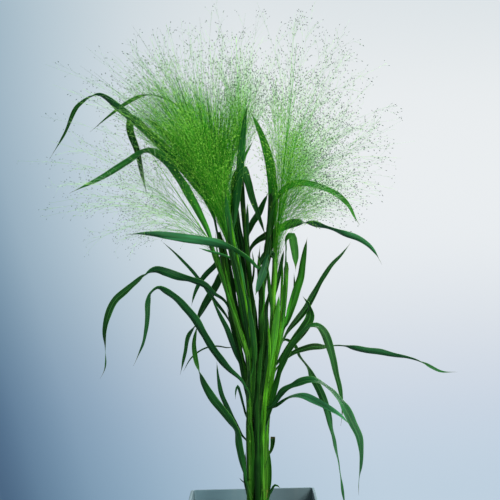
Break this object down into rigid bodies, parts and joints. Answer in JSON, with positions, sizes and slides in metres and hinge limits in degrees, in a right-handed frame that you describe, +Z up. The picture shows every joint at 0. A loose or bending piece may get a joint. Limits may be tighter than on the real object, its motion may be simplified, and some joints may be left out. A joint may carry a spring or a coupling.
{
  "type": "potted switchgrass",
  "caption": "Tall ornamental grass in a plain square planter: slender sheathed stems, long arching blades and airy seed-head clouds.",
  "frame": {"origin": "centre of the planter's flat underside", "axes": "+Z up along the stems, the planter's front faces -Y, +X to the right seen from the front"},
  "size_m": [0.6626, 0.4636, 0.938],
  "materials": {
    "planter": "matt grey-green",
    "soil": "crumbly potting mix of bark and peat",
    "culm": "satin green sheath",
    "leaf": "satin green blade",
    "panicle": "matt pale green"
  },
  "bodies": {
    "root": {"culm_centre": "culm", "culm_far_right": "culm", "culm_front": "culm", "culm_left": "culm", "culm_left_front": "culm", "culm_rear": "culm", "culm_rear_left": "culm", "culm_right": "culm", "leaf_centre_back": "leaf", "leaf_centre_bright": "leaf", "leaf_centre_broad": "leaf", "leaf_centre_bud": "leaf", "leaf_centre_drop": "leaf", "leaf_centre_hanging": "leaf", "leaf_centre_lean": "leaf", "leaf_centre_second": "leaf", "leaf_centre_slant": "leaf", "leaf_centre_small": "leaf", "leaf_centre_tall": "leaf", "leaf_foot_curl_right": "leaf", "leaf_foot_left_hook": "leaf", "leaf_foot_left_spear": "leaf", "leaf_foot_left_twist": "leaf", "leaf_foot_stub_left": "leaf", "leaf_foot_stub_right": "leaf", "leaf_left_broad": "leaf", "leaf_left_drop_back": "leaf", "leaf_left_fold": "leaf", "leaf_left_hanging": "leaf", "leaf_left_high_arch": "leaf", "leaf_left_level": "leaf", "leaf_left_long": "leaf", "leaf_left_low_arch": "leaf", "leaf_left_short": "leaf", "leaf_left_sliver": "leaf", "leaf_left_spear": "leaf", "leaf_left_wisp": "leaf", "leaf_right_big_arch": "leaf", "leaf_right_bright": "leaf", "leaf_right_folded": "leaf", "leaf_right_high_twist": "leaf", "leaf_right_hooked": "leaf", "leaf_right_inner": "leaf", "leaf_right_longest": "leaf", "leaf_right_low_arch": "leaf", "leaf_right_low_pale": "leaf", "leaf_right_narrow": "leaf", "leaf_right_plunge": "leaf", "leaf_right_spear": "leaf", "leaf_right_upright": "leaf", "leaf_top_left_arch": "leaf", "leaf_top_left_inner": "leaf", "leaf_top_right_drape": "leaf", "panicle_left": "panicle", "panicle_left_dense": "panicle", "panicle_low_left": "panicle", "panicle_rear": "panicle", "panicle_right": "panicle", "planter": "planter", "soil": "soil"}
  },
  "joints": []
}
